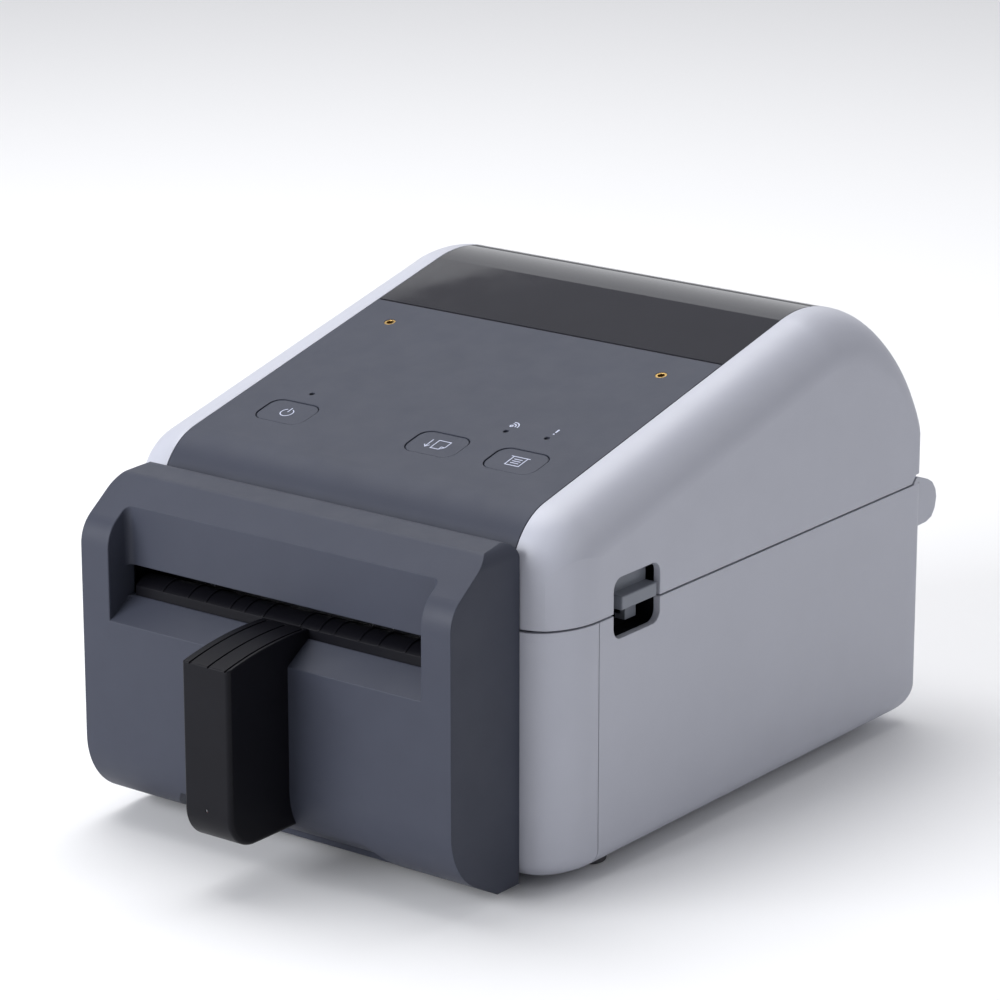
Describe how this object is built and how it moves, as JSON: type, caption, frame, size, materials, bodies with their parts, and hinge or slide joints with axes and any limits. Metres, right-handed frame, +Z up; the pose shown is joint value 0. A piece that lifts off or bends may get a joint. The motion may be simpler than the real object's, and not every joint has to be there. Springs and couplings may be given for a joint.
{
  "type": "desktop label printer",
  "caption": "Desktop thermal label printer with hinged top cover, control panel, front label cutter and label-taken sensor arm.",
  "frame": {"origin": "centre of the bounding box at the table surface under the rubber feet", "axes": "+X to the right seen from the front, +Y towards the rear, +Z up"},
  "size_m": [0.18, 0.289, 0.1564],
  "materials": {
    "white_shell": "satin moulded",
    "charcoal_plastic": "fine moulded grain",
    "smoked_window": "smoked clear plastic",
    "black_plastic": "satin moulded",
    "dark_frame": "moulded",
    "lever_grey": "satin moulded",
    "steel": "plain",
    "blade_steel": "ground",
    "black_steel": "black coated sheet",
    "platen_rubber": "ground rubber",
    "feet_rubber": "moulded rubber",
    "gear_plastic": "natural moulded",
    "bush_plastic": "low-friction moulded",
    "motor_steel": "plated can",
    "media_guide_plastic": "moulded",
    "brass_insert": "turned",
    "led_lens": "diffusing",
    "circuit_board": "solder mask",
    "switch_plastic": "moulded",
    "heatsink_aluminium": "extruded",
    "head_ceramic": "glazed",
    "connector_black": "moulded",
    "connector_metal": "plated"
  },
  "bodies": {
    "base": {"base_screws": "steel", "chassis": "dark_frame", "cutter_cover": "charcoal_plastic", "cutter_frame": "black_steel", "cutter_motor": "motor_steel", "exit_guide": "black_plastic", "feed_motor": "motor_steel", "fixed_blade": "blade_steel", "front_lower_panel": "white_shell", "gap_sensor": "black_plastic", "hinge_pins": "steel", "idler_pin": "steel", "latch_pockets": "black_plastic", "lower_case": "white_shell", "main_board": "circuit_board", "network_port": "connector_metal", "pinion_stud": "steel", "platen_bushes": "bush_plastic", "power_inlet": "connector_black", "rubber_feet": "feet_rubber", "sensor_arm": "black_plastic", "sensor_lens": "led_lens", "serial_port": "connector_black", "usb_device_port": "connector_metal", "usb_host_port": "connector_metal"},
    "cover": {"top_cover": "white_shell", "control_panel": "charcoal_plastic", "window": "smoked_window", "thread_inserts": "brass_insert", "status_leds": "led_lens", "panel_board": "circuit_board", "tact_switches": "switch_plastic", "print_head": "head_ceramic", "heatsink": "heatsink_aluminium", "head_bracket": "dark_frame", "head_springs": "steel", "latch_housings": "black_plastic", "latch_pins": "steel"},
    "power_button": {"power_button": "charcoal_plastic"},
    "feed_button": {"feed_button": "charcoal_plastic"},
    "print_button": {"print_button": "charcoal_plastic"},
    "right_latch": {"right_latch": "lever_grey"},
    "left_latch": {"left_latch": "lever_grey"},
    "platen": {"platen_shaft": "steel", "platen_roller": "platen_rubber", "platen_gear": "gear_plastic"},
    "idler": {"idler_gear": "gear_plastic"},
    "motor_rotor": {"motor_pinion": "gear_plastic"},
    "blade": {"moving_blade": "blade_steel"},
    "cutter_rotor": {"cutter_pinion": "gear_plastic"},
    "right_guide": {"right_media_guide": "media_guide_plastic"},
    "left_guide": {"left_media_guide": "media_guide_plastic"},
    "guide_pinion": {"guide_pinion": "gear_plastic"}
  },
  "joints": [
    {"name": "cover_hinge", "type": "hinge", "parent": "base", "child": "cover", "pos_m": [0, 0.137, 0.079], "axis": [-1, 0, 0], "range_deg": [0, 95]},
    {"name": "power_press", "type": "slide", "parent": "cover", "child": "power_button", "axis": [0, 0.2303, -0.9731], "range_m": [0, 0.0008], "stiffness_N_per_m": 600},
    {"name": "feed_press", "type": "slide", "parent": "cover", "child": "feed_button", "axis": [0, 0.2303, -0.9731], "range_m": [0, 0.0008], "stiffness_N_per_m": 600},
    {"name": "print_press", "type": "slide", "parent": "cover", "child": "print_button", "axis": [0, 0.2303, -0.9731], "range_m": [0, 0.0008], "stiffness_N_per_m": 600},
    {"name": "right_latch_pull", "type": "hinge", "parent": "cover", "child": "right_latch", "pos_m": [0.0845, -0.0383, 0.1025], "axis": [0, -1, 0], "range_deg": [0, 15], "stiffness_Nm_per_rad": 0.12},
    {"name": "left_latch_pull", "type": "hinge", "parent": "cover", "child": "left_latch", "pos_m": [-0.0845, -0.0383, 0.1025], "axis": [0, 1, 0], "range_deg": [0, 15], "stiffness_Nm_per_rad": 0.12},
    {"name": "platen_spin", "type": "hinge", "parent": "base", "child": "platen", "pos_m": [0, -0.066, 0.0735], "axis": [1, 0, 0], "continuous": true},
    {"name": "idler_spin", "type": "hinge", "parent": "base", "child": "idler", "pos_m": [0.068, -0.05048, 0.055], "axis": [1, 0, 0], "continuous": true},
    {"name": "motor_spin", "type": "hinge", "parent": "base", "child": "motor_rotor", "pos_m": [0.066, -0.04358, 0.03606], "axis": [1, 0, 0], "continuous": true},
    {"name": "blade_slide", "type": "slide", "parent": "base", "child": "blade", "axis": [0, 0, -1], "range_m": [0, 0.009]},
    {"name": "cutter_spin", "type": "hinge", "parent": "base", "child": "cutter_rotor", "pos_m": [0.065, -0.098, 0.056], "axis": [-1, 0, 0], "range_deg": [0, 86]},
    {"name": "right_guide_slide", "type": "slide", "parent": "base", "child": "right_guide", "axis": [-1, 0, 0], "range_m": [0, 0.035]},
    {"name": "left_guide_slide", "type": "slide", "parent": "base", "child": "left_guide", "axis": [1, 0, 0], "range_m": [0, 0.035]},
    {"name": "guide_pinion_spin", "type": "hinge", "parent": "base", "child": "guide_pinion", "pos_m": [0, 0.046, 0.0167], "axis": [0, 0, -1], "range_deg": [0, 418]}
  ],
  "couplings": [
    {"joint": "idler_spin", "follows": "platen_spin", "ratio": -0.66667},
    {"joint": "motor_spin", "follows": "platen_spin", "ratio": 1.7143},
    {"joint": "cutter_spin", "follows": "blade_slide", "rad_per_m": 166.67},
    {"joint": "left_guide_slide", "follows": "right_guide_slide", "ratio": 1},
    {"joint": "guide_pinion_spin", "follows": "right_guide_slide", "rad_per_m": 208.33}
  ]
}
